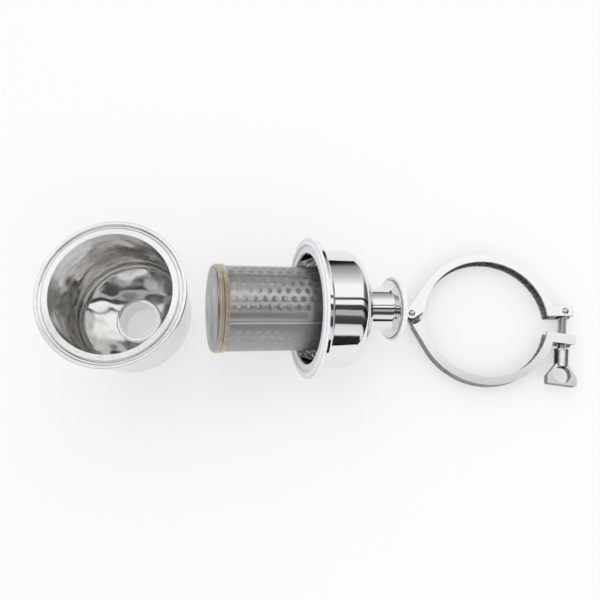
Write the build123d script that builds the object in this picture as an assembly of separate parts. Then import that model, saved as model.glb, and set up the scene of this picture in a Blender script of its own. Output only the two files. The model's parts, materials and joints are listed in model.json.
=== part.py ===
from build123d import *
import math
import os

# Sanitary inline strainer with 4 inch clamp flanges in the middle and 1.5 inch clamp ports,
# lying taken apart on a table: the inlet cup stands on its port, the outlet bonnet lies on its
# side with the strainer element in it, and the clamp lies flat beside them.
# Origin: centre of the inlet port face, on the table. +Z up along the cup, +X from cup to clamp.

# Body flange and tube, 4 inch
body_flange_radius = 59.5
body_tube_radius = 50.8
body_wall = 2.1
body_ferrule_length = 12.7
body_groove_radius = 55.15

# Port flange and tube, 1.5 inch
port_flange_radius = 25.25
port_tube_radius = 19.05
port_wall = 1.65
port_ferrule_length = 12.7
port_groove_radius = 21.8

# Both flanges
flange_edge = 2.85
flange_taper = 20.0
groove_depth = 1.6
groove_half_width = 1.9
edge_break = 0.4

# Dished ends of both shells
dish_knuckle = 12.0
dish_crown = 80.0
dish_skirt = 6.0

# Weld seams
seam_notch = 0.45
seam_bead_proud = 0.5
seam_bead_width = 3.2
neck_bead = 1.4
neck_proud = 1.2

# Inlet cup
cup_height = 114.0
cup_straight_end = 45.0

# Outlet bonnet, measured along its axis from the face of its body flange
bonnet_straight_end = 30.0
bonnet_length = 78.0

# Gaskets
gasket_web = 1.9
gasket_overhang = 0.5
body_gasket_bore = 47.6
port_gasket_bore = 17.6
port_gasket_rim = 27.5
port_gasket_rim_half = 2.1

# Strainer element, measured like the bonnet
element_reach = 82.5
tube_radius = 34.5
tube_wall = 1.5
mesh_thickness = 1.0
mesh_play = 0.05
mesh_lap = 0.35
mesh_lap_start = 34.4
mesh_lap_width = 62.0
hem_strand_width = 4.2
hem_strand_height = 1.3
hole_across = 5.1
hole_pitch = 8.0
hole_row_angle = 11.6
hole_rows = 29
hole_first_angle = 14.5
hole_margin = 6.4
end_plate_thickness = 1.5
end_disc_thickness = 1.2
end_disc_round = 1.0
base_ring_length = 10.0
base_ring_bore = 33.0
base_ring_radius = 36.8
socket_clearance = 0.05
socket_wall = 2.2
socket_depth = 12.0
socket_ledge = 3.4
socket_seat = 41.0

# Clamp, seen from above; each half is drawn in its own frame with the ring centre at 0, 0
# and the hinge pin on its -X axis
clamp_width = 15.0
clamp_wall = 3.2
groove_play = 0.8
clamp_lip = 3.8
hinge_reach = 68.0
hinge_lug_radius = 4.9
hinge_corner_height = 3.2
hinge_sweep = 10.6
hinge_pin_radius = 2.2
tongue_width = 5.6
tongue_play = 0.2
pin_play = 0.05
pin_head_radius = 3.0
pin_head_height = 1.1
ear_slant = 5.5
ear_thickness = 9.0
ear_end = 80.5
upper_ear_height = 8.9
lower_ear_height = 12.6
ear_corner = 1.6
fork_gap = 8.8
fork_depth = 6.2
bolt_pin_reach = 72.0
bolt_pin_radius = 2.2

# Swing bolt with its washer and wing nut
bolt_radius = 4.0
bolt_eye_radius = 4.5
bolt_eye_thickness = 8.0
bolt_length = 49.0
slot_play = 0.7
slot_inner_play = 1.3
washer_radius = 6.9
washer_thickness = 1.6
nut_play = 0.1
nut_start = 36.9
nut_barrel_radius = 6.1
nut_barrel_length = 12.4
nut_head_width = 26.0
nut_head_height = 18.6
nut_head_side = 7.5
nut_head_thickness = 8.5
nut_hole_radius = 7.6
nut_corner = 1.5

# Where the groups lie
bonnet_x = 152.7
bonnet_y = 1.9
bonnet_turn = 4.3
hinge_x = 248.8
hinge_y = 8.9
lower_half_turn = -2.4
upper_half_turn = -5.5
bolt_turn = -97.9


def ring_section(points):
    """Turned piece: a closed outline of (radius, height) points, spun about Z."""
    outline = make_face(Polyline([(r, 0, h) for r, h in points], close=True))
    return revolve(outline, Axis.Z, 360)


def dish_centre(straight_end):
    """Height of the crown's centre for a dish that starts at straight_end and goes up."""
    inner = dish_crown - dish_knuckle
    return straight_end - math.sqrt(inner ** 2 - (body_tube_radius - dish_knuckle) ** 2)


def dish_height(straight_end, radius, inset):
    """Height of the dish's crown at a radius, inset below its outer face."""
    return dish_centre(straight_end) + math.sqrt((dish_crown - inset) ** 2 - radius ** 2)


def dish_line(straight_end, inset):
    """Line of the dish from the tube's end, round the knuckle and over the crown to the neck."""
    centre = dish_centre(straight_end)
    knuckle_x = body_tube_radius - dish_knuckle
    knuckle = dish_knuckle - inset
    crown = dish_crown - inset
    tangent = math.asin(knuckle_x / (dish_crown - dish_knuckle))
    bend = (math.pi / 2 - tangent) / 2
    neck = math.asin(port_tube_radius / crown)
    middle = (tangent + neck) / 2
    tube_end = (body_tube_radius - inset, straight_end)
    knuckle_mid = (knuckle_x + knuckle * math.cos(bend), straight_end + knuckle * math.sin(bend))
    joint = (crown * math.sin(tangent), centre + crown * math.cos(tangent))
    crown_mid = (crown * math.sin(middle), centre + crown * math.cos(middle))
    crown_end = (port_tube_radius, centre + crown * math.cos(neck))
    at = [Vector(r, 0, h) for r, h in (tube_end, knuckle_mid, joint, crown_mid, crown_end)]
    return [ThreePointArc(at[0], at[1], at[2]), ThreePointArc(at[2], at[3], at[4])]


def dished_end(straight_end):
    """Pressed end: a short straight skirt, a knuckle and a crown with a hole for the neck.
    Inside, its skirt carries the weld bead that joins it to the rolled tube."""
    skirt = straight_end - dish_skirt
    outer = dish_line(straight_end, 0)
    inner = dish_line(straight_end, body_wall)
    bore = body_tube_radius - body_wall
    outside = Line((body_tube_radius, 0, skirt), (body_tube_radius, 0, straight_end))
    lip = Line(outer[-1] @ 1, inner[-1] @ 1)
    bead_end = Vector(bore, 0, skirt + seam_bead_width)
    bead_top = Vector(bore - seam_bead_proud, 0, skirt + seam_bead_width / 2)
    inside = Line((bore, 0, straight_end), bead_end)
    bead = ThreePointArc(bead_end, bead_top, (bore, 0, skirt))
    rim = Line((bore, 0, skirt), (body_tube_radius, 0, skirt))
    outline = Wire([outside] + outer + [lip] + inner + [inside, bead, rim])
    return revolve(make_face(outline), Axis.Z, 360)


def rolled_tube(start, end):
    """Rolled tube with its inner corners broken where it is welded."""
    bore = body_tube_radius - body_wall
    return ring_section([(bore + seam_notch, start), (body_tube_radius, start),
                         (body_tube_radius, end), (bore + seam_notch, end),
                         (bore, end - seam_notch), (bore, start + seam_notch)])


def neck_weld(straight_end):
    """Weld beads round the neck, inside and outside the dish."""
    inner = dish_height(straight_end, port_tube_radius, body_wall)
    outer = dish_height(straight_end, port_tube_radius, 0)
    radius = port_tube_radius
    beads = Location((0, 0, inner)) * Torus(radius, neck_bead)
    beads = beads + Location((0, 0, outer)) * Torus(radius, neck_bead)
    return beads


def port_ferrule(straight_end, face):
    """Small ferrule whose tube runs through the dish and stands a little proud inside.
    Drawn along the shell's axis, with its face at the height called face."""
    inside = dish_height(straight_end, port_tube_radius, body_wall) - neck_proud
    made = ferrule(port_flange_radius, port_tube_radius, port_wall, face - inside,
                   port_groove_radius, back_fillet=1.5)
    made = Location((0, 0, face), (180, 0, 0)) * made
    core = Location((0, 0, inside)) * Cylinder(
        port_tube_radius - port_wall, face - inside,
        align=(Align.CENTER, Align.CENTER, Align.MIN))
    return made + (neck_weld(straight_end) - core - dished_end(straight_end))


def ferrule(flange_radius, tube_radius_out, wall, length, groove_radius, back_fillet=2.0):
    """Turned clamp ferrule with its face at height 0, and its tube going up to length."""
    back = flange_edge + (flange_radius - tube_radius_out) * math.tan(math.radians(flange_taper))
    with BuildPart() as made:
        with BuildSketch(Plane.XZ) as section:
            with BuildLine():
                Polyline((tube_radius_out - wall, 0), (flange_radius, 0),
                         (flange_radius, flange_edge), (tube_radius_out, back),
                         (tube_radius_out, length), (tube_radius_out - wall, length), close=True)
            make_face()
            rim = section.vertices().group_by(Axis.X)[-1]
            fillet(rim, edge_break)
            hub = section.vertices().sort_by(lambda v: abs(v.X - tube_radius_out) + abs(v.Y - back))[0]
            fillet(hub, back_fillet)
            with Locations((groove_radius, 0)):
                Ellipse(groove_half_width, groove_depth, mode=Mode.SUBTRACT)
        revolve(axis=Axis.Z)
    return made.part


def flat_gasket(bore, groove_radius, rim_radius, rim_half):
    """Silicone gasket: a thin web with a bead for each groove and a rim past the flange."""
    half = gasket_web / 2
    with BuildPart() as made:
        with BuildSketch(Plane.XZ):
            with Locations(((bore + rim_radius) / 2, 0)):
                Rectangle(rim_radius - bore, gasket_web)
            with Locations((groove_radius, -half), (groove_radius, half)):
                Ellipse(groove_half_width - 0.15, groove_depth - 0.15)
            if rim_half > half:
                with Locations((rim_radius - rim_half * 0.3, 0)):
                    RectangleRounded(rim_half * 1.3, 2 * rim_half, rim_half * 0.35)
        revolve(axis=Axis.Z)
    return made.part


# Placing
def resting_tilt():
    """Angle at which the bonnet lies on its flange's back edge and its dish's knuckle."""
    along = bonnet_straight_end - flange_edge
    across = body_flange_radius - (body_tube_radius - dish_knuckle)
    return math.atan2(across, along) - math.asin(dish_knuckle / math.hypot(along, across))


def bonnet_place():
    tilt = resting_tilt()
    turn = math.radians(bonnet_turn)
    axis = Vector(math.cos(turn) * math.cos(tilt), math.sin(turn) * math.cos(tilt), -math.sin(tilt))
    level = body_flange_radius * math.cos(tilt) + flange_edge * math.sin(tilt)
    side = Vector(-math.sin(turn), math.cos(turn), 0)
    return Plane(origin=(bonnet_x, bonnet_y, level), x_dir=side, z_dir=axis).location


def half_place(turn):
    """Frame of a clamp half: its ring centre, turned about the hinge pin."""
    angle = math.radians(turn)
    centre = (hinge_x + hinge_reach * math.cos(angle), hinge_y + hinge_reach * math.sin(angle), 0)
    return Location(centre, (0, 0, turn))


# Inlet cup and outlet bonnet
def vessel(length, straight_end):
    """Four welded pieces along +Z, from the body flange's face at 0 to the port's at length."""
    body_ferrule = ferrule(body_flange_radius, body_tube_radius, body_wall,
                           body_ferrule_length, body_groove_radius)
    tube = rolled_tube(body_ferrule_length, straight_end - dish_skirt)
    return {"body_ferrule": body_ferrule, "shell": tube,
            "dished_end": dished_end(straight_end),
            "port_ferrule": port_ferrule(straight_end, length)}


def inlet_pieces():
    upside_down = Location((0, 0, cup_height), (180, 0, 0))
    pieces = vessel(cup_height, cup_height - cup_straight_end)
    return {"inlet_" + name: upside_down * solid for name, solid in pieces.items()}


def outlet_pieces():
    pieces = vessel(bonnet_length, bonnet_straight_end)
    return {"outlet_" + name: solid for name, solid in pieces.items()}


def gasket_pieces():
    body = flat_gasket(body_gasket_bore, body_groove_radius,
                       body_flange_radius + gasket_overhang, 0)
    port = flat_gasket(port_gasket_bore, port_groove_radius, port_gasket_rim,
                       port_gasket_rim_half)
    return {"body_gasket": Location((0, 0, -gasket_web / 2)) * body,
            "port_gasket": Location((0, 0, bonnet_length + gasket_web / 2)) * port}


# Strainer element
def element_pieces():
    socket_bore = base_ring_radius + socket_clearance
    socket_outer = socket_bore + socket_wall
    top = dish_height(bonnet_straight_end, 0, 0)
    collar = ring_section([(socket_bore, socket_seat - socket_depth),
                           (socket_outer, socket_seat - socket_depth), (socket_outer, top),
                           (socket_bore - socket_ledge, top),
                           (socket_bore - socket_ledge, socket_seat),
                           (socket_bore, socket_seat)])
    hollow = Location((0, 0, dish_centre(bonnet_straight_end))) * Sphere(dish_crown - body_wall)
    collar = collar & hollow
    tube_inner = tube_radius - tube_wall
    mesh_radius = tube_radius + mesh_thickness
    ring_start = socket_seat - base_ring_length
    base_ring = ring_section([(base_ring_bore, ring_start), (base_ring_radius, ring_start),
                              (base_ring_radius, socket_seat), (base_ring_bore, socket_seat)])
    plate_top = -element_reach + end_disc_thickness
    tube_start = plate_top + end_plate_thickness
    tube = ring_section([(tube_inner, tube_start), (tube_radius, tube_start),
                         (tube_radius, ring_start), (tube_inner, ring_start)])
    tube = tube - hole_tools(tube_start + hole_margin, ring_start - hole_margin)
    plate = ring_section([(0, plate_top), (tube_radius, plate_top), (tube_radius, tube_start),
                          (0, tube_start)])
    mesh_bore = tube_radius + mesh_play
    sleeve = ring_section([(mesh_bore, plate_top), (mesh_radius, plate_top),
                           (mesh_radius, ring_start), (mesh_bore, ring_start)])
    sleeve = sleeve + mesh_seam(mesh_radius, plate_top, ring_start)
    with BuildPart() as disc:
        with Locations((0, 0, -element_reach)):
            Cylinder(mesh_radius, end_disc_thickness,
                     align=(Align.CENTER, Align.CENTER, Align.MIN))
        fillet(disc.edges().group_by(Axis.Z)[0], end_disc_round)
    return {"element_socket": collar, "element_base_ring": base_ring, "perforated_tube": tube,
            "tube_end_plate": plate, "mesh_sleeve": sleeve, "mesh_end_disc": disc.part,
            "mesh_hem_band": hem_band(mesh_radius, plate_top)}


def hole_tools(low, high):
    """Staggered rows of prisms for the tube's holes; one stretch beside its seam stays plain.
    Angles are counted from the line that looks up, towards the side that faces -Y."""
    corner = hole_across / 2 / math.cos(math.pi / 6)
    tools = []
    for row in range(hole_rows):
        angle = hole_first_angle - hole_row_angle * row
        shift = hole_pitch / 2 if row % 2 else 0
        count = int((high - low - shift) / hole_pitch) + 1
        for step in range(count):
            level = low + shift + step * hole_pitch
            turned = Location((0, 0, level), (0, 0, angle))
            prism = turned * Location((0, tube_radius, 0), (90, 0, 0)) * extrude(
                RegularPolygon(corner, 6), 2 * tube_wall, both=True)
            tools.append(prism)
    return tools


def mesh_seam(mesh_radius, start, end):
    """Lap of the wire mesh: a second layer over part of the sleeve, from the hem to its end."""
    inner = mesh_radius - mesh_lap
    outer = mesh_radius + mesh_lap
    low = start + 2 * hem_strand_width + mesh_play
    ring = ring_section([(inner, low), (outer, low), (outer, end), (inner, end)])
    far = 2 * mesh_radius
    first = math.radians(mesh_lap_start)
    last = math.radians(mesh_lap_start + mesh_lap_width)
    wedge = make_face(Polyline((0, 0), (far * math.sin(-first), far * math.cos(first)),
                               (far * math.sin(-last), far * math.cos(last)), close=True))
    sector = Location((0, 0, start)) * extrude(wedge, end - start)
    return ring & sector


def hem_band(mesh_radius, start):
    """Hem that binds the sleeve to the end disc: two round strands side by side."""
    with BuildPart() as band:
        with BuildSketch(Plane.XZ):
            for step in range(2):
                level = start + hem_strand_width * (step + 0.5)
                with Locations((mesh_radius, level)):
                    Ellipse(hem_strand_height, hem_strand_width / 2 + 0.05)
            with Locations((mesh_radius - mesh_thickness, start + hem_strand_width)):
                Rectangle(2 * mesh_thickness, 3 * hem_strand_width, mode=Mode.SUBTRACT)
        revolve(axis=Axis.Z)
    return band.part


# Clamp
def clamp_radii():
    groove = body_flange_radius + groove_play
    return groove, groove + clamp_wall, groove - clamp_lip


def clamp_plan(ear_height):
    """Outline of a half from above, with its ear rising at ear_slant."""
    groove, outer, lip = clamp_radii()
    lean = math.acos((outer - hinge_lug_radius) / hinge_reach)
    normal = Vector(math.cos(math.pi - lean), math.sin(math.pi - lean))
    pin = Vector(-hinge_reach, 0)
    corner_y = hinge_corner_height
    corner = Vector(-math.sqrt(lip ** 2 - corner_y ** 2), corner_y)
    down = Vector(math.cos(math.radians(-60)), math.sin(math.radians(-60)))
    slant = math.radians(ear_slant)
    along = Vector(math.cos(slant), math.sin(slant))
    across = Vector(-math.sin(slant), math.cos(slant))
    ear_foot = Vector(lip * math.cos(math.asin(ear_height / lip)), ear_height)
    reach = (ear_end - ear_foot.X) / math.cos(slant)
    ear = [ear_foot, ear_foot + along * reach, ear_foot + along * reach + across * ear_thickness,
           ear_foot + across * ear_thickness]
    with BuildSketch() as plan:
        Circle(outer)
        with BuildLine():
            Polyline(normal * outer, pin + normal * hinge_lug_radius,
                     pin + down * hinge_lug_radius, corner, (0, 0), close=True)
        make_face()
        with BuildLine():
            Polyline((0, 0), corner * 2, (-2 * outer, -2 * outer), (2 * outer, -2 * outer),
                     ear_foot * 2, close=True)
        make_face(mode=Mode.SUBTRACT)
        with BuildLine():
            Polyline(*ear, close=True)
        make_face()
        with BuildLine():
            Polyline(pin + normal * hinge_lug_radius, pin + down * hinge_lug_radius, corner,
                     corner + (-1.0, 2.0), close=True)
        make_face()
        with Locations(pin):
            Circle(hinge_lug_radius)
        Circle(lip, mode=Mode.SUBTRACT)
        tips = plan.vertices().group_by(Axis.X)[-2:]
        fillet(tips[0] + tips[1], ear_corner)
    return plan.sketch


def flange_groove():
    """The V ring that the clamp leaves free for the two flanges and the gasket."""
    groove, outer, lip = clamp_radii()
    taper = math.tan(math.radians(flange_taper))
    half_at_flange = gasket_web / 2 + flange_edge
    inner = lip - 1.0
    half_inner = half_at_flange + (body_flange_radius - inner) * taper
    middle = clamp_width / 2
    return ring_section([(inner, middle - half_inner), (groove, middle - half_at_flange),
                         (groove, middle + half_at_flange), (inner, middle + half_inner)])


def clamp_casting(ear_height):
    """One cast half, without its hinge end and without the cut in its ear."""
    body = extrude(clamp_plan(ear_height), clamp_width)
    return body - flange_groove()


def pin_hole(x, y, radius):
    return Location((x, y, clamp_width / 2)) * Cylinder(radius + pin_play, 2 * clamp_width)


def middle_slab(x_from, x_to, width, round_radius=0):
    """Slot through an ear, in the middle of the clamp's width."""
    long = x_to - x_from
    block = Location(((x_from + x_to) / 2, 0, clamp_width / 2)) * Box(long, 80, width)
    return block


def upper_half():
    """Half with a fork at the hinge and a fork in its ear."""
    body = clamp_casting(upper_ear_height)
    gap = tongue_width + 2 * tongue_play
    fork = Location((-hinge_reach, 0, clamp_width / 2)) * Cylinder(hinge_sweep, gap)
    slot = middle_slab(bolt_pin_reach - fork_depth, ear_end + 5, fork_gap)
    pin_y = bolt_pin_height()
    return (body - fork - slot - pin_hole(-hinge_reach, 0, hinge_pin_radius)
            - pin_hole(bolt_pin_reach, pin_y, bolt_pin_radius))


def bolt_pin_height():
    """Height of the bolt pin in the upper half's frame, midway through the ear."""
    slant = math.radians(ear_slant)
    groove, outer, lip = clamp_radii()
    foot = lip * math.cos(math.asin(upper_ear_height / lip))
    return (upper_ear_height + (bolt_pin_reach - foot) * math.tan(slant)
            + ear_thickness / 2 / math.cos(slant))


def lower_half():
    """Half with a tongue at the hinge and a slot in its ear, mirrored below the X axis."""
    body = mirror(clamp_casting(lower_ear_height), Plane.XZ)
    cheek = (clamp_width - tongue_width) / 2
    sweep = Cylinder(hinge_sweep, cheek, align=(Align.CENTER, Align.CENTER, Align.MIN))
    low = Location((-hinge_reach, 0, 0)) * sweep
    high = Location((-hinge_reach, 0, clamp_width - cheek)) * sweep
    reach = bolt_at_ear() - bolt_radius - slot_inner_play
    width = 2 * (bolt_radius + slot_play)
    slot = middle_slab(reach, ear_end + 5, width)
    return body - low - high - slot - pin_hole(-hinge_reach, 0, hinge_pin_radius)


def bolt_pin_spot():
    return half_place(upper_half_turn) * Location((bolt_pin_reach, bolt_pin_height(), 0))


def bolt_place():
    """Frame of the bolt: its pin at 0, and its shank along +X."""
    spot = bolt_pin_spot().position
    return Location((spot.X, spot.Y, clamp_width / 2), (0, 0, bolt_turn))


def bolt_at_ear():
    """Where the bolt's axis crosses the middle of the lower ear, in the lower half's frame."""
    groove, outer, lip = clamp_radii()
    slant = math.radians(-ear_slant)
    local = half_place(lower_half_turn).inverse() * bolt_place()
    start = local.position
    run = local.orientation.Z
    foot = lip * math.cos(math.asin(lower_ear_height / lip))
    direction = (math.cos(math.radians(run)), math.sin(math.radians(run)))
    ear_y = -lower_ear_height - ear_thickness / 2
    travel = 0.0
    for step in range(20):
        x = start.X + travel * direction[0]
        level = ear_y + (x - foot) * math.tan(slant)
        travel = (level - start.Y) / direction[1]
    return start.X + travel * direction[0]


def pin(radius):
    """Riveted pin with a low domed head over each face of the clamp."""
    shank = Cylinder(radius, clamp_width, align=(Align.CENTER, Align.CENTER, Align.MIN))
    dome = (pin_head_radius ** 2 + pin_head_height ** 2) / (2 * pin_head_height)
    ball = Location((0, 0, clamp_width + pin_head_height - dome)) * Sphere(dome)
    cap = ball & (Location((0, 0, clamp_width)) * Cylinder(
        pin_head_radius, dome, align=(Align.CENTER, Align.CENTER, Align.MIN)))
    return shank + cap


def swing_bolt():
    """Eye bolt: the eye turns on the bolt pin and the shank points along +X."""
    eye = Cylinder(bolt_eye_radius, bolt_eye_thickness)
    shank = Location((0, 0, 0), (0, 90, 0)) * Cylinder(
        bolt_radius, bolt_length, align=(Align.CENTER, Align.CENTER, Align.MIN))
    shank = chamfer(shank.faces().sort_by(Axis.X)[-1].edges(), 0.8)
    body = eye + shank
    flat = Location((0, 0, 0)) * Box(4 * bolt_eye_radius, 4 * bolt_eye_radius, bolt_eye_thickness)
    near = Location((0, 0, 0)) * Cylinder(2 * bolt_eye_radius, 4 * bolt_eye_radius)
    body = body - (near - flat)
    return body - Cylinder(bolt_pin_radius + pin_play, 4 * bolt_eye_radius)


def seat_washer():
    ring = Cylinder(washer_radius, washer_thickness,
                    align=(Align.CENTER, Align.CENTER, Align.MAX))
    ring = ring - Cylinder(bolt_radius + nut_play, 3 * washer_thickness)
    return Location((nut_start, 0, 0), (0, 90, 0)) * ring


def wing_nut():
    """Cast wing nut: a round barrel and a flat head with a large hole."""
    barrel = Location((nut_start, 0, 0), (0, 90, 0)) * Cylinder(
        nut_barrel_radius, nut_barrel_length + 2,
        align=(Align.CENTER, Align.CENTER, Align.MIN))
    head_start = nut_start + nut_barrel_length
    head_end = head_start + nut_head_height
    half = nut_head_width / 2
    with BuildPart() as head:
        with BuildSketch(Plane.XY.offset(-nut_head_thickness / 2)):
            with BuildLine():
                Polyline((head_start, -nut_barrel_radius * 0.9), (head_end - nut_head_side, -half),
                         (head_end, -half), (head_end, half), (head_end - nut_head_side, half),
                         (head_start, nut_barrel_radius * 0.9), close=True)
            outline = make_face()
            fillet(outline.vertices().filter_by(lambda v: v.X > head_start + 1), nut_corner)
            with Locations(((head_start + head_end) / 2 + 0.2, 0)):
                Circle(nut_hole_radius, mode=Mode.SUBTRACT)
        extrude(amount=nut_head_thickness)
    hole_centre = (head_start + head_end) / 2 + 0.2
    bore = Location((nut_start - 1, 0, 0), (0, 90, 0)) * Cylinder(
        bolt_radius + nut_play, hole_centre - nut_start,
        align=(Align.CENTER, Align.CENTER, Align.MIN))
    window = Location((hole_centre, 0, 0)) * Cylinder(nut_hole_radius, nut_head_thickness * 2)
    return barrel - window + head.part - bore


def clamp_pieces():
    lower = half_place(lower_half_turn)
    upper = half_place(upper_half_turn)
    bolt = bolt_place()
    hinge = Location((hinge_x, hinge_y, 0))
    bolt_pin_at = Location((bolt.position.X, bolt.position.Y, 0))
    return {"clamp_lower_half": lower * lower_half(), "clamp_upper_half": upper * upper_half(),
            "hinge_pin": hinge * pin(hinge_pin_radius),
            "bolt_pin": bolt_pin_at * pin(bolt_pin_radius), "swing_bolt": bolt * swing_bolt(),
            "seat_washer": bolt * seat_washer(), "wing_nut": bolt * wing_nut()}


def whole_part():
    lying = bonnet_place()
    pieces = inlet_pieces()
    for group in (outlet_pieces(), gasket_pieces(), element_pieces()):
        for name, solid in group.items():
            pieces[name] = lying * solid
    pieces.update(clamp_pieces())
    return pieces


os.makedirs("parts", exist_ok=True)
for name, solid in whole_part().items():
    export_step(solid, f"parts/{name}.step")
    print(name, len(solid.solids()), round(solid.volume, 1))
print("bonnet tilt", round(math.degrees(resting_tilt()), 2))
print("bolt pin", bolt_place().position)
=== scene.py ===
import bpy
import bmesh
import json
import math
from mathutils import Matrix, Vector


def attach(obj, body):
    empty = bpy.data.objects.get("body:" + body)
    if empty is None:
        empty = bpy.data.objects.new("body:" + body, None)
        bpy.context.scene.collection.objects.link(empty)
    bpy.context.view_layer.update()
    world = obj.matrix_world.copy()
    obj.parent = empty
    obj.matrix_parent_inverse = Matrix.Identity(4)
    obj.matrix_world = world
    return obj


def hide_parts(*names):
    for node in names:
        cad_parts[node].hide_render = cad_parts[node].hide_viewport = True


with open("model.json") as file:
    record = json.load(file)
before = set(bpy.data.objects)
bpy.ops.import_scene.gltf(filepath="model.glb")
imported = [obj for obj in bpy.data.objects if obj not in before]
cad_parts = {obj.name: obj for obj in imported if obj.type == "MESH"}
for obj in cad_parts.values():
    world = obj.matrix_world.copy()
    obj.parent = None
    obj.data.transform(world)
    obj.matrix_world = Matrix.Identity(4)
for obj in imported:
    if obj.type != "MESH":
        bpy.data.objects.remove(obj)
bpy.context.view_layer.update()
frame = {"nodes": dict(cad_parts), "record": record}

MM = 0.001
image_size = 600

# Camera: a photograph from above, with the picture's sideways tilt kept
camera_place = Vector((0.1534, -0.1410, 0.5865))
camera_forward = Vector((-0.01291, 0.27396, -0.96165))
camera_right = Vector((0.99991, 0.0, -0.01343))
focal_pixels = 640.0
sensor_width = 36.0

# Sizes of the bonnet and its strainer element, from the frame's own solids
flange_face_centre = Vector((0.1527, 0.0019, 0.057801))
bonnet_tilt = math.radians(16.7404)
bonnet_turn = math.radians(4.3)

# Sizes of the strainer element in millimetres, on the bonnet's own axes:
# +Z runs towards its port, and angles turn from the line that looks up towards the side facing -Y
tube_radius = 34.5
tube_bore = 33.0
tube_start = -79.8
tube_end = 31.0
hole_radius = 2.55
hole_pitch = 8.0
hole_rows = 29
hole_steps = 13
hole_row_angle = math.radians(11.6)
hole_first_angle = math.radians(14.5)
hole_first_level = -73.4
sleeve_start = -81.3
sleeve_radius = 35.5
sleeve_wall = 0.12
lap_start = math.radians(34.4)
lap_width = math.radians(62.0)
lap_radius = 35.85
wires_round = 279
wire_pitch = 0.8
strand_width = 4.2
strand_height = 1.3

# Bolt of the clamp
bolt_pin_place = Vector((0.389591, 0.010394, 0.0075))
bolt_direction = Vector((-0.1374, -0.9905, 0.0))


def srgb(value):
    """Linear value of a screen colour from 0 to 1."""
    return value / 12.92 if value <= 0.04045 else ((value + 0.055) / 1.055) ** 2.4


def colour(r, g, b):
    return (srgb(r), srgb(g), srgb(b), 1.0)


def new_material(name):
    made = bpy.data.materials.new(name)
    made.use_nodes = True
    made.node_tree.nodes.clear()
    tree = made.node_tree
    shader = tree.nodes.new("ShaderNodeBsdfPrincipled")
    output = tree.nodes.new("ShaderNodeOutputMaterial")
    tree.links.new(shader.outputs["BSDF"], output.inputs["Surface"])
    return made, tree, shader


def node(tree, kind, **values):
    made = tree.nodes.new(kind)
    for key, value in values.items():
        if hasattr(made, key) and key not in made.inputs:
            setattr(made, key, value)
        else:
            made.inputs[key].default_value = value
    return made


def noise(tree, scale, stretch=(1, 1, 1), detail=4.0):
    """Noise on the piece's own coordinates."""
    place = node(tree, "ShaderNodeTexCoord")
    mapping = node(tree, "ShaderNodeMapping", Scale=stretch)
    grain = node(tree, "ShaderNodeTexNoise", Scale=scale, Detail=detail)
    tree.links.new(place.outputs["Object"], mapping.inputs["Vector"])
    tree.links.new(mapping.outputs["Vector"], grain.inputs["Vector"])
    return grain


def ramp(tree, source, low, high, start=0.35, end=0.65):
    made = node(tree, "ShaderNodeMapRange")
    made.inputs["From Min"].default_value = start
    made.inputs["From Max"].default_value = end
    made.inputs["To Min"].default_value = low
    made.inputs["To Max"].default_value = high
    tree.links.new(source, made.inputs["Value"])
    return made.outputs["Result"]


def bump(tree, shader, height, strength, distance):
    made = node(tree, "ShaderNodeBump", Strength=strength, Distance=distance)
    tree.links.new(height, made.inputs["Height"])
    tree.links.new(made.outputs["Normal"], shader.inputs["Normal"])


def calc(tree, operation, first, second=None):
    made = tree.nodes.new("ShaderNodeMath")
    made.operation = operation
    for index, value in enumerate((first, second)):
        if isinstance(value, (int, float)):
            made.inputs[index].default_value = value
        elif value is not None:
            tree.links.new(value, made.inputs[index])
    return made.outputs[0]


def mirror_steel():
    """Spun and polished shells: a clear mirror, with a slow waviness and faint smears."""
    made, tree, shader = new_material("mirror_polished_steel")
    shader.inputs["Base Color"].default_value = colour(0.92, 0.92, 0.915)
    shader.inputs["Metallic"].default_value = 1.0
    smear = noise(tree, 60.0, (1, 1, 6))
    tree.links.new(ramp(tree, smear.outputs["Fac"], 0.03, 0.08), shader.inputs["Roughness"])
    wave = noise(tree, 28.0, detail=1.0)
    bump(tree, shader, wave.outputs["Fac"], 0.35, 0.0008)
    return made


def spun_steel():
    """The cup's wall and dish: polished by hand, so that reflections smear into patches."""
    made, tree, shader = new_material("hand_polished_steel")
    shader.inputs["Base Color"].default_value = colour(0.90, 0.895, 0.885)
    shader.inputs["Metallic"].default_value = 1.0
    smear = noise(tree, 45.0, (1, 1, 3))
    tree.links.new(ramp(tree, smear.outputs["Fac"], 0.08, 0.20), shader.inputs["Roughness"])
    wave = noise(tree, 32.0, detail=1.5)
    bump(tree, shader, wave.outputs["Fac"], 0.8, 0.004)
    return made


def turned_steel():
    """Rim of the cup, with the fine rings that turning leaves round its upright axis."""
    made, tree, shader = new_material("turned_rim_steel")
    shader.inputs["Base Color"].default_value = colour(0.93, 0.93, 0.925)
    shader.inputs["Metallic"].default_value = 1.0
    place = tree.nodes.new("ShaderNodeTexCoord")
    split = tree.nodes.new("ShaderNodeSeparateXYZ")
    tree.links.new(place.outputs["Object"], split.inputs["Vector"])
    across = calc(tree, "POWER", split.outputs["X"], 2.0)
    along = calc(tree, "POWER", split.outputs["Y"], 2.0)
    radius = calc(tree, "SQRT", calc(tree, "ADD", across, along))
    rings = calc(tree, "SINE", calc(tree, "MULTIPLY", radius, 2 * math.pi / 0.00045))
    grain = noise(tree, 300.0)
    tree.links.new(ramp(tree, grain.outputs["Fac"], 0.12, 0.22), shader.inputs["Roughness"])
    bump(tree, shader, rings, 0.5, 0.00002)
    return made


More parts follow.
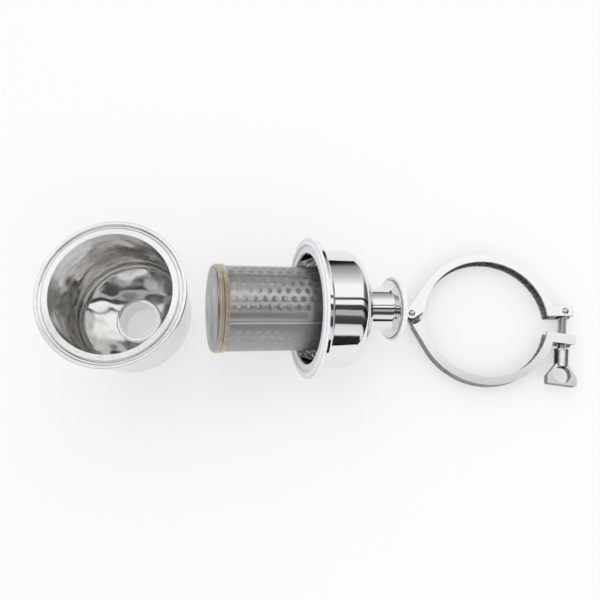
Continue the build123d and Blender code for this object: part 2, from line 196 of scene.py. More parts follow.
def satin_steel():
    made, tree, shader = new_material("satin_turned_steel")
    shader.inputs["Base Color"].default_value = colour(0.84, 0.84, 0.84)
    shader.inputs["Metallic"].default_value = 1.0
    grain = noise(tree, 900.0)
    tree.links.new(ramp(tree, grain.outputs["Fac"], 0.16, 0.26), shader.inputs["Roughness"])
    bump(tree, shader, grain.outputs["Fac"], 0.15, 0.00004)
    return made


def cast_steel(name, low=None, high=None):
    """Casting: ground bright on its flat faces; the other faces get a dark colour, part rough casting and part
    painted shade.
    With low and high, only the faces at those heights are ground; the groove's walls between them get that painted
    shade."""
    made, tree, shader = new_material(name)
    shader.inputs["Metallic"].default_value = 1.0
    place = tree.nodes.new("ShaderNodeTexCoord")
    split = tree.nodes.new("ShaderNodeSeparateXYZ")
    tree.links.new(place.outputs["Normal"], split.inputs["Vector"])
    # faces looking up or down stay bright; the colour of all other faces is darkened as painted shade
    facing = calc(tree, "ABSOLUTE", split.outputs["Z"])
    ground = ramp(tree, facing, 0.0, 1.0, 0.75, 0.97)
    # the groove's walls between low and high are kept dark: painted shade in the groove
    if high is not None:
        split_place = tree.nodes.new("ShaderNodeSeparateXYZ")
        tree.links.new(place.outputs["Object"], split_place.inputs["Vector"])
        middle = (low + high) / 2
        off = calc(tree, "ABSOLUTE", calc(tree, "SUBTRACT", split_place.outputs["Z"], middle))
        outside = calc(tree, "GREATER_THAN", off, (high - low) / 2 - 0.0002)
        ground = calc(tree, "MULTIPLY", ground, outside)
    patch = noise(tree, 420.0)
    # dark colour of the side faces: rough casting, darkened further as painted shade
    cast_and_painted_shade = ramp(tree, patch.outputs["Fac"], 0.06, 0.40, 0.3, 0.7)
    tone_with_painted_shade = calc(tree, "ADD", calc(tree, "MULTIPLY", ground, 0.86), calc(
        tree, "MULTIPLY", calc(tree, "SUBTRACT", 1.0, ground), cast_and_painted_shade))
    tree.links.new(tone_with_painted_shade, shader.inputs["Base Color"])
    tree.links.new(ramp(tree, ground, 0.42, 0.20, 0.0, 1.0), shader.inputs["Roughness"])
    pits = noise(tree, 1100.0)
    rough = calc(tree, "MULTIPLY", pits.outputs["Fac"], calc(tree, "SUBTRACT", 1.15, ground))
    bump(tree, shader, rough, 0.6, 0.0002)
    return made


def silicone():
    made, tree, shader = new_material("white_silicone")
    shader.inputs["Base Color"].default_value = colour(0.955, 0.95, 0.97)
    shader.inputs["Roughness"].default_value = 0.38
    shader.inputs["Subsurface Weight"].default_value = 0.25
    shader.inputs["Subsurface Radius"].default_value = (0.002, 0.002, 0.002)
    haze = noise(tree, 120.0)
    bump(tree, shader, haze.outputs["Fac"], 0.05, 0.0002)
    return made


def woven_mesh():
    """Plain weave: the sheet's UV map counts its wires, and the gaps between them are open."""
    made, tree, shader = new_material("fine_wire_mesh")
    shader.inputs["Base Color"].default_value = colour(0.80, 0.80, 0.79)
    shader.inputs["Metallic"].default_value = 0.9
    shader.inputs["Roughness"].default_value = 0.32
    half_wire = 0.115
    counted = node(tree, "ShaderNodeUVMap", uv_map="wires")
    split = tree.nodes.new("ShaderNodeSeparateXYZ")
    tree.links.new(counted.outputs["UV"], split.inputs["Vector"])
    across = split.outputs["X"]
    along = split.outputs["Y"]
    heights = []
    cover = []
    for one, other, sign in ((across, along, 1.0), (along, across, -1.0)):
        off = calc(tree, "PINGPONG", one, 0.5)
        cover.append(calc(tree, "LESS_THAN", off, half_wire))
        near = calc(tree, "MAXIMUM", calc(tree, "SUBTRACT", 1.0, calc(tree, "DIVIDE", off, half_wire)),
                    0.0)
        wave = calc(tree, "COSINE", calc(tree, "MULTIPLY", calc(
            tree, "ADD", other, calc(tree, "ROUND", one)), math.pi))
        lift = calc(tree, "ADD", calc(tree, "MULTIPLY", wave, 0.3 * sign), 0.7)
        heights.append(calc(tree, "MULTIPLY", calc(tree, "SQRT", near), lift))
    tree.links.new(calc(tree, "MAXIMUM", cover[0], cover[1]), shader.inputs["Alpha"])
    bump(tree, shader, calc(tree, "MAXIMUM", heights[0], heights[1]), 0.6, 0.0001)
    return made


def punched_tube_steel():
    made, tree, shader = new_material("punched_tube_steel")
    shader.inputs["Base Color"].default_value = colour(0.95, 0.95, 0.945)
    shader.inputs["Metallic"].default_value = 1.0
    smear = noise(tree, 240.0)
    tree.links.new(ramp(tree, smear.outputs["Fac"], 0.12, 0.18), shader.inputs["Roughness"])
    return made


def folded_edge():
    made, tree, shader = new_material("folded_mesh_edge")
    shader.inputs["Base Color"].default_value = colour(0.93, 0.93, 0.92)
    shader.inputs["Metallic"].default_value = 0.9
    grain = noise(tree, 2200.0)
    tree.links.new(ramp(tree, grain.outputs["Fac"], 0.2, 0.4), shader.inputs["Roughness"])
    bump(tree, shader, grain.outputs["Fac"], 0.3, 0.0001)
    return made


def hem_painted_shade():
    made, tree, shader = new_material("hem_painted_shade")
    # dark brown, a darker copy of the hem wires' colour: painted shade inside the braid
    shader.inputs["Base Color"].default_value = colour(0.36, 0.31, 0.25)
    shader.inputs["Metallic"].default_value = 0.6
    grain = noise(tree, 1800.0)
    tree.links.new(ramp(tree, grain.outputs["Fac"], 0.4, 0.7), shader.inputs["Roughness"])
    return made


def bolt_steel():
    made, tree, shader = new_material("rolled_thread_steel")
    shader.inputs["Base Color"].default_value = colour(0.82, 0.82, 0.81)
    shader.inputs["Metallic"].default_value = 1.0
    grain = noise(tree, 1500.0)
    tree.links.new(ramp(tree, grain.outputs["Fac"], 0.18, 0.34), shader.inputs["Roughness"])
    return made


def disc_steel():
    """Sheet of the element's closed end, dulled, with a cloudy roughness."""
    made, tree, shader = new_material("dulled_sheet_steel")
    shader.inputs["Base Color"].default_value = colour(0.66, 0.67, 0.69)
    shader.inputs["Metallic"].default_value = 1.0
    cloud = noise(tree, 45.0)
    tree.links.new(ramp(tree, cloud.outputs["Fac"], 0.22, 0.38), shader.inputs["Roughness"])
    return made


def hem_wire():
    made, tree, shader = new_material("hem_band_wire")
    tint = noise(tree, 260.0)
    mixed = tree.nodes.new("ShaderNodeMix")
    mixed.data_type = "RGBA"
    mixed.inputs["A"].default_value = colour(0.88, 0.82, 0.71)
    mixed.inputs["B"].default_value = colour(0.96, 0.94, 0.89)
    tree.links.new(ramp(tree, tint.outputs["Fac"], 0.0, 1.0), mixed.inputs["Factor"])
    tree.links.new(mixed.outputs["Result"], shader.inputs["Base Color"])
    shader.inputs["Metallic"].default_value = 0.9
    shader.inputs["Roughness"].default_value = 0.3
    return made


# the castings' finishes colour their side faces and groove walls dark: painted shade
finishes = {"mirror_steel": mirror_steel(), "satin_steel": satin_steel(), "cast_steel": cast_steel("ground_casting_painted_shade"),
            "clamp_casting_painted_shade": cast_steel("clamp_casting_painted_shade", 0.0, 15 * MM),
            "silicone": silicone(), "mesh_steel": woven_mesh(), "hem_wire": hem_wire(),
            "tube_steel": punched_tube_steel(), "edge_wire": folded_edge(),
            "hem_core": hem_painted_shade(), "bolt_steel": bolt_steel(), "disc_steel": disc_steel(), "turned_steel": turned_steel(),
            "spun_steel": spun_steel()}
own_finish = {"tube_end_plate": "disc_steel", "mesh_end_disc": "disc_steel",
              "inlet_body_ferrule": "turned_steel", "inlet_shell": "spun_steel",
              "inlet_dished_end": "spun_steel", "clamp_lower_half": "clamp_casting_painted_shade",
              "clamp_upper_half": "clamp_casting_painted_shade"}


def dress_nodes():
    """Every solid of the frame gets the finish of its slot."""
    slots = {row["node"]: row["material_slot"] for row in frame["record"]["subparts"]}
    for name, solid in frame["nodes"].items():
        solid.data.materials.clear()
        solid.data.materials.append(finishes[own_finish.get(name, slots[name])])


dress_nodes()


# Helpers for the scene's own pieces
def bonnet_axes():
    """From the bonnet's own axes in millimetres to the row frame in metres."""
    along = Vector((math.cos(bonnet_turn) * math.cos(bonnet_tilt),
                    math.sin(bonnet_turn) * math.cos(bonnet_tilt), -math.sin(bonnet_tilt)))
    side = Vector((-math.sin(bonnet_turn), math.cos(bonnet_turn), 0.0))
    up = along.cross(side)
    axes = Matrix((side, up, along)).transposed().to_4x4()
    return Matrix.Translation(flange_face_centre) @ axes @ Matrix.Scale(MM, 4)


def bolt_axes():
    """From the bolt's own axes in millimetres, +Z along its shank from the pin, to the row frame."""
    along = bolt_direction.normalized()
    up = Vector((0.0, 0.0, 1.0))
    side = up.cross(along)
    axes = Matrix((side, up, along)).transposed().to_4x4()
    return Matrix.Translation(bolt_pin_place) @ axes @ Matrix.Scale(MM, 4)


def on_round(radius, angle, level):
    return Vector((-radius * math.sin(angle), radius * math.cos(angle), level))


def mesh_object(name, shape):
    mesh = bpy.data.meshes.new(name)
    shape.to_mesh(mesh)
    shape.free()
    made = bpy.data.objects.new(name, mesh)
    bpy.context.collection.objects.link(made)
    return made


def settle(source, name, axes, body, stands_for, material=None, sharp=35):
    """The finished piece: a plain mesh in the row frame that rides on its body."""
    graph = bpy.context.evaluated_depsgraph_get()
    mesh = bpy.data.meshes.new_from_object(source.evaluated_get(graph))
    mesh.transform(axes)
    shape = bmesh.new()
    shape.from_mesh(mesh)
    bmesh.ops.recalc_face_normals(shape, faces=shape.faces)
    shape.to_mesh(mesh)
    shape.free()
    mesh.polygons.foreach_set("use_smooth", [True] * len(mesh.polygons))
    mesh.set_sharp_from_angle(angle=math.radians(sharp))
    if material:
        mesh.materials.clear()
        mesh.materials.append(material)
    made = bpy.data.objects.new(name, mesh)
    bpy.context.collection.objects.link(made)
    bpy.data.objects.remove(source)
    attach(made, body)
    if stands_for:
        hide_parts(*stands_for)
    return made


def node_group(name, inputs):
    """Geometry tree with named inputs; returns the tree and its input and output nodes."""
    tree = bpy.data.node_groups.new(name, "GeometryNodeTree")
    tree.interface.new_socket(name="Geometry", in_out="INPUT", socket_type="NodeSocketGeometry")
    for label, kind in inputs:
        tree.interface.new_socket(name=label, in_out="INPUT", socket_type=kind)
    tree.interface.new_socket(name="Geometry", in_out="OUTPUT", socket_type="NodeSocketGeometry")
    return tree, tree.nodes.new("NodeGroupInput"), tree.nodes.new("NodeGroupOutput")


def add_nodes(target, tree, values):
    modifier = target.modifiers.new(tree.name, "NODES")
    modifier.node_group = tree
    for item in tree.interface.items_tree:
        if item.in_out == "INPUT" and item.name in values:
            modifier[item.identifier] = values[item.name]
    return modifier


def math_node(tree, operation, first, second=None):
    made = tree.nodes.new("ShaderNodeMath")
    made.operation = operation
    for index, value in enumerate((first, second)):
        if isinstance(value, (int, float)):
            made.inputs[index].default_value = value
        elif value is not None:
            tree.links.new(value, made.inputs[index])
    return made.outputs[0]


# Perforated tube: one plate with a round hole, repeated in staggered rows
def hole_cell():
    """A piece of the tube's wall, one row wide and one pitch long, with its hole."""
    half_angle = hole_row_angle / 2
    half_level = hole_pitch / 2
    rim = []
    for step in range(6):
        rim.append((-half_angle + 2 * half_angle * step / 6, -half_level))
    for step in range(6):
        rim.append((half_angle, -half_level + 2 * half_level * step / 6))
    for step in range(6):
        rim.append((half_angle - 2 * half_angle * step / 6, half_level))
    for step in range(6):
        rim.append((-half_angle, half_level - 2 * half_level * step / 6))
    hole = []
    for angle, level in rim:
        turn = math.atan2(level, angle * tube_radius)
        hole.append((hole_radius * math.cos(turn) / tube_radius, hole_radius * math.sin(turn)))
    shape = bmesh.new()
    loops = []
    for radius in (tube_radius, tube_bore):
        loops.append([shape.verts.new(on_round(radius, *spot)) for spot in rim])
        loops.append([shape.verts.new(on_round(radius, *spot)) for spot in hole])
    outer_rim, outer_hole, inner_rim, inner_hole = loops
    count = len(rim)
    for step in range(count):
        after = (step + 1) % count
        shape.faces.new((outer_rim[step], outer_rim[after], outer_hole[after], outer_hole[step]))
        shape.faces.new((inner_rim[after], inner_rim[step], inner_hole[step], inner_hole[after]))
        shape.faces.new((outer_hole[step], outer_hole[after], inner_hole[after], inner_hole[step]))
    return mesh_object("hole_cell", shape)


def tube_borders():
    """What the holes' rows leave: both ends of the tube and the plain stretch beside its seam."""
    step_level = hole_pitch / 6
    first = hole_first_level - hole_pitch / 2
    last = first + hole_steps * hole_pitch
    levels = [tube_start] + [first + step_level * k for k in range(hole_steps * 6 + 1)] + [tube_end]
    shape = bmesh.new()

    def plate(angle_0, angle_1, low, high):
        spots = ((angle_0, low), (angle_1, low), (angle_1, high), (angle_0, high))
        for radius in (tube_radius, tube_bore):
            shape.faces.new([shape.verts.new(on_round(radius, *spot)) for spot in spots])

    def end_rim(angle_0, angle_1, level):
        shape.faces.new([shape.verts.new(on_round(radius, angle, level)) for radius, angle in (
            (tube_radius, angle_0), (tube_radius, angle_1), (tube_bore, angle_1),
            (tube_bore, angle_0))])

    columns = []
    for row in range(hole_rows):
        middle = hole_first_angle - hole_row_angle * row
        inset = hole_pitch / 2 if row % 2 else 0.0
        for k in range(6):
            start = middle - hole_row_angle / 2 + hole_row_angle * k / 6
            columns.append((start, start + hole_row_angle / 6, first + inset, last - inset))
    plain_start = hole_first_angle + hole_row_angle / 2
    plain = 2 * math.pi - hole_rows * hole_row_angle
    for k in range(12):
        start = plain_start + plain * k / 12
        columns.append((start, start + plain / 12, tube_end, tube_end))
    for angle_0, angle_1, holes_low, holes_high in columns:
        end_rim(angle_0, angle_1, tube_start)
        end_rim(angle_0, angle_1, tube_end)
        for low, high in zip(levels, levels[1:]):
            middle = (low + high) / 2
            if middle < holes_low or middle > holes_high:
                plate(angle_0, angle_1, low, high)
    return mesh_object("tube_borders", shape)


def perforation_tree():
    tree, given, result = node_group("perforated_wall", (
        ("Cell", "NodeSocketObject"), ("Rows", "NodeSocketInt"), ("Steps", "NodeSocketInt"),
        ("Pitch", "NodeSocketFloat"), ("Row Angle", "NodeSocketFloat"),
        ("First Angle", "NodeSocketFloat"), ("First Level", "NodeSocketFloat"),
        ("Material", "NodeSocketMaterial")))
    points = tree.nodes.new("GeometryNodePoints")
    tree.links.new(math_node(tree, "MULTIPLY", given.outputs["Rows"], given.outputs["Steps"]),
                   points.inputs["Count"])
    index = tree.nodes.new("GeometryNodeInputIndex")
    share = math_node(tree, "DIVIDE", index.outputs[0], given.outputs["Steps"])
    row = math_node(tree, "FLOOR", math_node(tree, "ADD", share, 0.001))
    step = math_node(tree, "SUBTRACT", index.outputs[0],
                     math_node(tree, "MULTIPLY", row, given.outputs["Steps"]))
    odd = math_node(tree, "MODULO", row, 2.0)
    shifted = math_node(tree, "ADD", step, math_node(tree, "MULTIPLY", odd, 0.5))
    level = math_node(tree, "ADD", given.outputs["First Level"],
                      math_node(tree, "MULTIPLY", shifted, given.outputs["Pitch"]))
    angle = math_node(tree, "SUBTRACT", given.outputs["First Angle"],
                      math_node(tree, "MULTIPLY", row, given.outputs["Row Angle"]))
    spare = math_node(tree, "GREATER_THAN", math_node(tree, "ADD", step, odd),
                      math_node(tree, "SUBTRACT", given.outputs["Steps"], 0.5))
    place = tree.nodes.new("ShaderNodeCombineXYZ")
    turn = tree.nodes.new("ShaderNodeCombineXYZ")
    tree.links.new(level, place.inputs["Z"])
    tree.links.new(angle, turn.inputs["Z"])
    moved = tree.nodes.new("GeometryNodeSetPosition")
    tree.links.new(points.outputs[0], moved.inputs["Geometry"])
    tree.links.new(place.outputs[0], moved.inputs["Position"])
    cell = tree.nodes.new("GeometryNodeObjectInfo")
    tree.links.new(given.outputs["Cell"], cell.inputs["Object"])
    repeat = tree.nodes.new("GeometryNodeInstanceOnPoints")
    chosen = math_node(tree, "SUBTRACT", 1.0, spare)
    tree.links.new(moved.outputs["Geometry"], repeat.inputs["Points"])
    tree.links.new(chosen, repeat.inputs["Selection"])
    tree.links.new(cell.outputs["Geometry"], repeat.inputs["Instance"])
    tree.links.new(turn.outputs[0], repeat.inputs["Rotation"])
    joined = tree.nodes.new("GeometryNodeJoinGeometry")
    tree.links.new(repeat.outputs["Instances"], joined.inputs[0])
    tree.links.new(given.outputs["Geometry"], joined.inputs[0])
    real = tree.nodes.new("GeometryNodeRealizeInstances")
    tree.links.new(joined.outputs[0], real.inputs[0])
    merged = tree.nodes.new("GeometryNodeMergeByDistance")
    merged.inputs["Distance"].default_value = 0.01
    tree.links.new(real.outputs[0], merged.inputs["Geometry"])
    finish = tree.nodes.new("GeometryNodeSetMaterial")
    tree.links.new(merged.outputs[0], finish.inputs["Geometry"])
    tree.links.new(given.outputs["Material"], finish.inputs["Material"])
    tree.links.new(finish.outputs[0], result.inputs[0])
    return tree


def perforated_tube():
    cell = hole_cell()
    base = tube_borders()
    add_nodes(base, perforation_tree(), {
        "Cell": cell, "Rows": hole_rows, "Steps": hole_steps, "Pitch": hole_pitch,
        "Row Angle": hole_row_angle, "First Angle": hole_first_angle,
        "First Level": hole_first_level, "Material": finishes["tube_steel"]})
    made = settle(base, "perforated_wall", bonnet_axes(), "root",
                  ["perforated_tube"])
    bpy.data.objects.remove(cell)
    return made


# Woven sleeve: a thin sheet whose own UV map counts the wires
def wire_sleeve():
    steps = 144
    shape = bmesh.new()
    wires = shape.loops.layers.uv.new("wires")
    inner = sleeve_radius - sleeve_wall
    levels = [sleeve_start + (tube_end - sleeve_start) * k / 24 for k in range(25)]
    for step in range(steps):
        angle_0 = 2 * math.pi * step / steps
        angle_1 = 2 * math.pi * (step + 1) / steps
        walls = []
        for low, high in zip(levels, levels[1:]):
            walls.append(((sleeve_radius, angle_0, low), (sleeve_radius, angle_1, low),
                          (sleeve_radius, angle_1, high), (sleeve_radius, angle_0, high)))
            walls.append(((inner, angle_1, low), (inner, angle_0, low),
                          (inner, angle_0, high), (inner, angle_1, high)))
        for level in (sleeve_start, tube_end):
            walls.append(((sleeve_radius, angle_0, level), (sleeve_radius, angle_1, level),
                          (inner, angle_1, level), (inner, angle_0, level)))
        for spots in walls:
            face = shape.faces.new([shape.verts.new(on_round(*spot)) for spot in spots])
            for loop, (radius, angle, level) in zip(face.loops, spots):
                loop[wires].uv = (angle / (2 * math.pi) * wires_round, level / wire_pitch)
    bmesh.ops.remove_doubles(shape, verts=shape.verts, dist=0.001)
    base = mesh_object("sleeve_sheet", shape)
    return settle(base, "wire_sleeve", bonnet_axes(), "root", ["mesh_sleeve"],
                  finishes["mesh_steel"])


def sleeve_lap():
    """The cloth's second layer, with its folded edge as a small round bead."""
    steps = 48
    low = sleeve_start + 2 * strand_width + 0.1
    section = []
    for step in range(steps + 1):
        section.append((lap_radius, lap_start + lap_width * step / steps))
    for step in range(steps, -1, -1):
        section.append((lap_radius - sleeve_wall, lap_start + lap_width * step / steps))
    shape = bmesh.new()
    wires = shape.loops.layers.uv.new("wires")
    count = len(section)
    for step in range(count):
        one = section[step]
        two = section[(step + 1) % count]
        spots = ((*one, low), (*two, low), (*two, tube_end), (*one, tube_end))
        face = shape.faces.new([shape.verts.new(on_round(*spot)) for spot in spots])
        for loop, (radius, angle, level) in zip(face.loops, spots):
            loop[wires].uv = (angle / (2 * math.pi) * wires_round + 0.5,
                              level / wire_pitch + 0.5)
    for level in (low, tube_end):
        for step in range(steps):
            pair = (section[step], section[step + 1], section[count - 2 - step],
                    section[count - 1 - step])
            spots = [(*one, level) for one in pair]
            face = shape.faces.new([shape.verts.new(on_round(*spot)) for spot in spots])
            for loop, (radius, angle, height) in zip(face.loops, spots):
                loop[wires].uv = (angle / (2 * math.pi) * wires_round + 0.5,
                                  height / wire_pitch + 0.5)
    bmesh.ops.remove_doubles(shape, verts=shape.verts, dist=0.001)
    base = mesh_object("lap_sheet", shape)
    settle(base, "sleeve_lap", bonnet_axes(), "root", [], finishes["mesh_steel"])
    shape = bmesh.new()
    bead = 0.5
    bead_centre = lap_radius
    sides = 8
    rings = []
    for level in (low, tube_end):
        middle = on_round(bead_centre, lap_start, level)
        rings.append([shape.verts.new(middle + Vector((
            bead * math.cos(2 * math.pi * k / sides), bead * math.sin(2 * math.pi * k / sides),
            0.0))) for k in range(sides)])
    for k in range(sides):
        after = (k + 1) % sides
        shape.faces.new((rings[0][k], rings[0][after], rings[1][after], rings[1][k]))
    shape.faces.new(rings[0])
    shape.faces.new(rings[1])
    base = mesh_object("lap_bead", shape)
    settle(base, "sleeve_lap_edge", bonnet_axes(), "root", [],
           finishes["edge_wire"])


# Hem: two strands, each a braid of wires wound both ways round a flat core; its dark colour is painted shade
def braid_tree():
    tree, given, result = node_group("braided_wires", (
        ("Wire Radius", "NodeSocketFloat"), ("Material", "NodeSocketMaterial")))
    path = tree.nodes.new("GeometryNodeMeshToCurve")
    tree.links.new(given.outputs["Geometry"], path.inputs[0])
    ring = tree.nodes.new("GeometryNodeCurvePrimitiveCircle")
    ring.inputs["Resolution"].default_value = 5
    tree.links.new(given.outputs["Wire Radius"], ring.inputs["Radius"])
    swept = tree.nodes.new("GeometryNodeCurveToMesh")
    tree.links.new(path.outputs[0], swept.inputs["Curve"])
    tree.links.new(ring.outputs[0], swept.inputs["Profile Curve"])
    real = tree.nodes.new("GeometryNodeRealizeInstances")
    tree.links.new(swept.outputs[0], real.inputs[0])
    finish = tree.nodes.new("GeometryNodeSetMaterial")
    tree.links.new(real.outputs[0], finish.inputs["Geometry"])
    tree.links.new(given.outputs["Material"], finish.inputs["Material"])
    tree.links.new(finish.outputs[0], result.inputs[0])
    return tree


def hem_strands():
    tree = braid_tree()
    turns = 54
    wire = 0.34
    for number in range(2):
        level = sleeve_start + strand_width * (number + 0.5)
        shape = bmesh.new()
        samples = turns * 9
        for way in (-1, 1):
            for start in range(3):
                loop = []
                for step in range(samples):
                    angle = 2 * math.pi * step / samples
                    phase = way * turns * angle + 2 * math.pi * start / 3
                    weave = 0.12 * way * math.cos(2 * phase)
                    out = sleeve_radius + (strand_height - wire + weave) * math.cos(phase)
                    along = level + (strand_width / 2 - wire) * math.sin(phase)
                    loop.append(shape.verts.new(on_round(out, angle, along)))
                for step in range(samples):
                    shape.edges.new((loop[step], loop[(step + 1) % samples]))
        base = mesh_object(f"strand_path_{number}", shape)
        add_nodes(base, tree, {"Wire Radius": wire, "Material": finishes["hem_wire"]})
        settle(base, f"hem_strand_{number + 1}", bonnet_axes(), "root",
               ["mesh_hem_band"] if number == 0 else [], sharp=80)


def hem_shade_cores():
    """Dark rings under the strands' wires: painted shade inside the braid."""
    shape = bmesh.new()
    steps, sides = 96, 12
    for number in range(2):
        level = sleeve_start + strand_width * (number + 0.5)
        rings = []
        for step in range(steps):
            angle = 2 * math.pi * step / steps
            ring = []
            for side in range(sides):
                phase = 2 * math.pi * side / sides
                out = sleeve_radius + (strand_height - 0.45) * math.cos(phase)
                along = level + (strand_width / 2 - 0.45) * math.sin(phase)
                ring.append(shape.verts.new(on_round(out, angle, along)))
            rings.append(ring)
        for step in range(steps):
            one, two = rings[step], rings[(step + 1) % steps]
            for side in range(sides):
                after = (side + 1) % sides
                shape.faces.new((one[side], two[side], two[after], one[after]))
    base = mesh_object("core_rings", shape)
    settle(base, "hem_core", bonnet_axes(), "root", [], finishes["hem_core"])


# Swing bolt with its thread
def threaded_bolt():
    pitch, major, minor = 1.25, 4.0, 3.35
    start, end, chamfer = 6.0, 49.0, 0.8
    eye_radius, eye_half, pin_hole = 4.5, 4.0, 2.25
    around, per_turn = 28, 8
    shape = bmesh.new()
    rows = []
    count = int((end - start) / pitch * per_turn) + 1
    levels = [start + (end - start) * k / (count - 1) for k in range(count)]
    for level in levels:
        row = []
        fade = min(1.0, (level - start) / pitch)
        limit = major - max(0.0, level - (end - chamfer))
        for k in range(around):
            angle = 2 * math.pi * k / around
            share = (level / pitch - k / around) % 1.0
            ridge = max(0.0, min(1.0, 1.5 - abs(share - 0.5) * 4.0))
            radius = minor + (major - minor) * (ridge * fade + (1 - fade))
            radius = min(radius, limit)
            row.append(shape.verts.new((radius * math.cos(angle), radius * math.sin(angle), level)))
        rows.append(row)
    for one, two in zip(rows, rows[1:]):
        for k in range(around):
            after = (k + 1) % around
            shape.faces.new((one[k], one[after], two[after], two[k]))
    root = [shape.verts.new((v.co.x, v.co.y, 3.0)) for v in rows[0]]
    for k in range(around):
        after = (k + 1) % around
        shape.faces.new((root[k], root[after], rows[0][after], rows[0][k]))
    shape.faces.new(root)
    shape.faces.new(rows[-1])
    # the eye, turned about the upright pin: this piece's Y axis
    section = [(pin_hole, -eye_half), (eye_radius - 0.4, -eye_half), (eye_radius, -eye_half + 0.4),
               (eye_radius, eye_half - 0.4), (eye_radius - 0.4, eye_half), (pin_hole, eye_half)]
    rings = []
    for k in range(40):
        angle = 2 * math.pi * k / 40
        rings.append([shape.verts.new((radius * math.cos(angle), height, radius * math.sin(angle)))
                      for radius, height in section])
    for k in range(40):
        one, two = rings[k], rings[(k + 1) % 40]
        for side in range(len(section)):
            after = (side + 1) % len(section)
            shape.faces.new((one[side], one[after], two[after], two[side]))
    base = mesh_object("bolt_shape", shape)
    settle(base, "threaded_bolt", bolt_axes(), "bolt", ["swing_bolt"],
           finishes["bolt_steel"])


perforated_tube()
wire_sleeve()
sleeve_lap()
hem_strands()
hem_shade_cores()
threaded_bolt()


# Studio
def area_lamp(name, place, target, size, power):
    data = bpy.data.lights.new(name, "AREA")
    data.shape = "RECTANGLE"
    data.size, data.size_y = size
    data.energy = power
    lamp = bpy.data.objects.new(name, data)
    bpy.context.collection.objects.link(lamp)
    lamp.location = place
    lamp.rotation_euler = (Vector(target) - Vector(place)).to_track_quat("-Z", "Y").to_euler()
    lamp.visible_camera = False
    lamp.visible_glossy = False
    return lamp


def studio_world():
    """White behind the object, and for the metal a sky of soft boxes and dark gaps along X."""
    world = bpy.data.worlds.new("studio")
    bpy.context.scene.world = world
    world.use_nodes = True
    tree = world.node_tree
    tree.nodes.clear()
    output = tree.nodes.new("ShaderNodeOutputWorld")
    plain = node(tree, "ShaderNodeBackground", Strength=0.85)
    plain.inputs["Color"].default_value = (1, 1, 1, 1)
    mirrored = node(tree, "ShaderNodeBackground", Strength=1.1)
    white = node(tree, "ShaderNodeBackground", Strength=1.0)
    white.inputs["Color"].default_value = (1, 1, 1, 1)
    path = tree.nodes.new("ShaderNodeLightPath")
    first = tree.nodes.new("ShaderNodeMixShader")
    second = tree.nodes.new("ShaderNodeMixShader")
    place = tree.nodes.new("ShaderNodeTexCoord")
    split = tree.nodes.new("ShaderNodeSeparateXYZ")
    tree.links.new(place.outputs["Generated"], split.inputs["Vector"])
    # sideways part of the direction, and the light found there
    stops = [(-1.0, 0.8), (-0.95, 0.75), (-0.94, 0.02), (-0.84, 0.02), (-0.82, 0.85),
             (-0.64, 0.75), (-0.61, 0.04), (-0.41, 0.08), (-0.39, 0.45), (-0.26, 0.45),
             (-0.24, 0.05), (-0.10, 0.05), (-0.08, 0.95), (0.05, 1.0), (0.07, 0.07),
             (0.13, 0.07), (0.15, 1.0), (0.50, 1.0), (0.92, 0.30), (0.95, 0.02), (1.0, 0.02)]
    bands = tree.nodes.new("ShaderNodeValToRGB")
    marks = bands.color_ramp.elements
    marks[0].position, marks[0].color = 0.0, (stops[0][1],) * 3 + (1,)
    marks[1].position, marks[1].color = 1.0, (stops[-1][1],) * 3 + (1,)
    for across, value in stops[1:-1]:
        added = marks.new((across + 1) / 2)
        added.color = (value, value, value, 1)
    half = node(tree, "ShaderNodeMapRange")
    half.inputs["From Min"].default_value = -1.0
    tree.links.new(split.outputs["Y"], half.inputs["Value"])
    tree.links.new(half.outputs["Result"], bands.inputs["Fac"])
    ends = ramp(tree, calc(tree, "ABSOLUTE", split.outputs["X"]), 1.0, 0.12, 0.72, 0.86)
    below = ramp(tree, split.outputs["Z"], 0.3, 1.0, -0.03, 0.0)
    shade = tree.nodes.new("ShaderNodeVectorMath")
    shade.operation = "SCALE"
    tree.links.new(bands.outputs["Color"], shade.inputs[0])
    tree.links.new(calc(tree, "MULTIPLY", ends, below), shade.inputs["Scale"])
    tree.links.new(shade.outputs["Vector"], mirrored.inputs["Color"])
    tree.links.new(path.outputs["Is Glossy Ray"], first.inputs["Fac"])
    tree.links.new(plain.outputs["Background"], first.inputs[1])
    tree.links.new(mirrored.outputs["Background"], first.inputs[2])
    tree.links.new(path.outputs["Is Camera Ray"], second.inputs["Fac"])
    tree.links.new(first.outputs["Shader"], second.inputs[1])
    tree.links.new(white.outputs["Background"], second.inputs[2])
    tree.links.new(second.outputs["Shader"], output.inputs["Surface"])


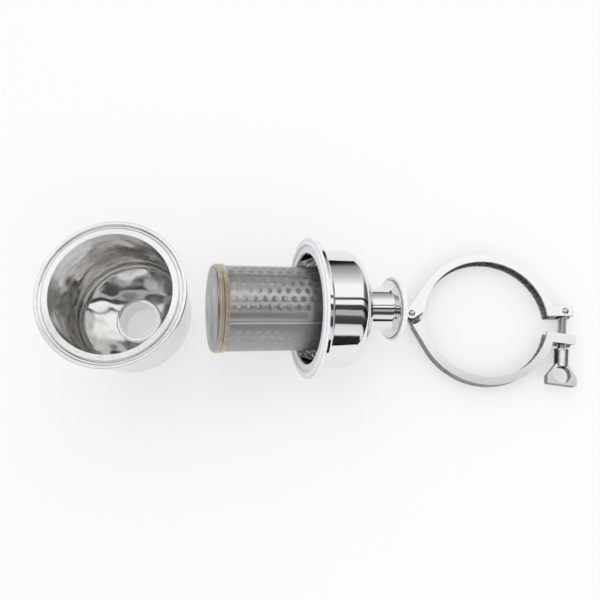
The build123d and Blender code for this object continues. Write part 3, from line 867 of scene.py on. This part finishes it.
def floor():
    mesh = bpy.data.meshes.new("table_top")
    shape = bmesh.new()
    bmesh.ops.create_grid(shape, x_segments=1, y_segments=1, size=0.9)
    shape.to_mesh(mesh)
    shape.free()
    made = bpy.data.objects.new("table_top", mesh)
    bpy.context.collection.objects.link(made)
    made.location = (0.15, 0.0, -0.0003)
    material, tree, shader = new_material("white_table")
    shader.inputs["Base Color"].default_value = colour(0.97, 0.97, 0.97)
    shader.inputs["Roughness"].default_value = 0.7
    # seen directly or in the metal, the table is half its own white, so shadows stay light
    white = node(tree, "ShaderNodeEmission", Strength=1.0)
    white.inputs["Color"].default_value = (1, 1, 1, 1)
    path = tree.nodes.new("ShaderNodeLightPath")
    seen = calc(tree, "MAXIMUM", path.outputs["Is Camera Ray"], calc(
        tree, "MAXIMUM", path.outputs["Is Glossy Ray"], path.outputs["Is Transmission Ray"]))
    mixed = tree.nodes.new("ShaderNodeMixShader")
    tree.links.new(calc(tree, "MULTIPLY", seen, 0.5), mixed.inputs["Fac"])
    tree.links.new(shader.outputs["BSDF"], mixed.inputs[1])
    tree.links.new(white.outputs["Emission"], mixed.inputs[2])
    output = next(one for one in tree.nodes if one.type == "OUTPUT_MATERIAL")
    tree.links.new(mixed.outputs["Shader"], output.inputs["Surface"])
    mesh.materials.append(material)


def camera():
    data = bpy.data.cameras.new("camera")
    data.sensor_width = sensor_width
    data.lens = focal_pixels / image_size * sensor_width
    data.clip_start = 0.01
    made = bpy.data.objects.new("camera", data)
    bpy.context.collection.objects.link(made)
    back = -camera_forward.normalized()
    right = (camera_right - back * camera_right.dot(back)).normalized()
    up = back.cross(right)
    turned = Matrix((right, up, back)).transposed().to_4x4()
    made.matrix_world = Matrix.Translation(camera_place) @ turned
    bpy.context.scene.camera = made


studio_world()
floor()
area_lamp("key", (0.0, 0.5, 1.3), (0.15, 0, 0), (1.2, 0.9), 3.0)
area_lamp("fill", (0.6, -0.7, 1.1), (0.2, 0, 0), (0.9, 0.9), 2.0)
camera()
bpy.context.scene.view_settings.view_transform = "Standard"
